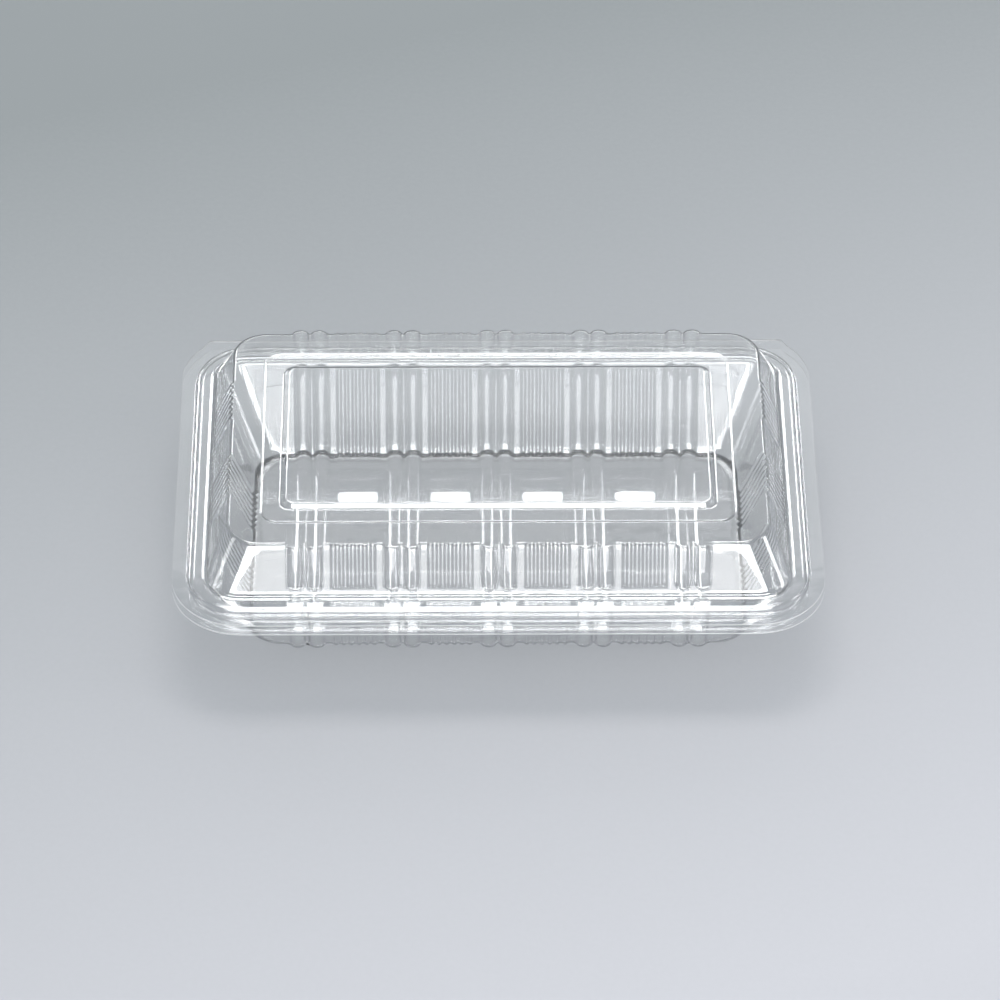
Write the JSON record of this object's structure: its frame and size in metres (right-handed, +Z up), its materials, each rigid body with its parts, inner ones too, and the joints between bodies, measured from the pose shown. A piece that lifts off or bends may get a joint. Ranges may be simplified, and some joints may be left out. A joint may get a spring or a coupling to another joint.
{
  "type": "hinged clear plastic clamshell pack",
  "caption": "Closed, empty clear hinged plastic pack: a fluted tray and a fluted press-on lid with a raised panel, joined by a fold.",
  "frame": {"origin": "under the middle of the pack, on the surface that it stands on", "axes": "+X along the fold, to the right seen from the front; +Y from the front to the fold; +Z up"},
  "size_m": [0.185, 0.123, 0.045],
  "materials": {
    "clear_sheet": "clear glossy polystyrene sheet"
  },
  "bodies": {
    "base_tray": {"base_tray": "clear_sheet"},
    "lid": {"lid": "clear_sheet"}
  },
  "joints": [
    {"name": "lid_fold", "type": "hinge", "parent": "base_tray", "child": "lid", "pos_m": [0, 0.0615, 0.0273], "axis": [-1, 0, 0], "range_deg": [0, 180]}
  ]
}
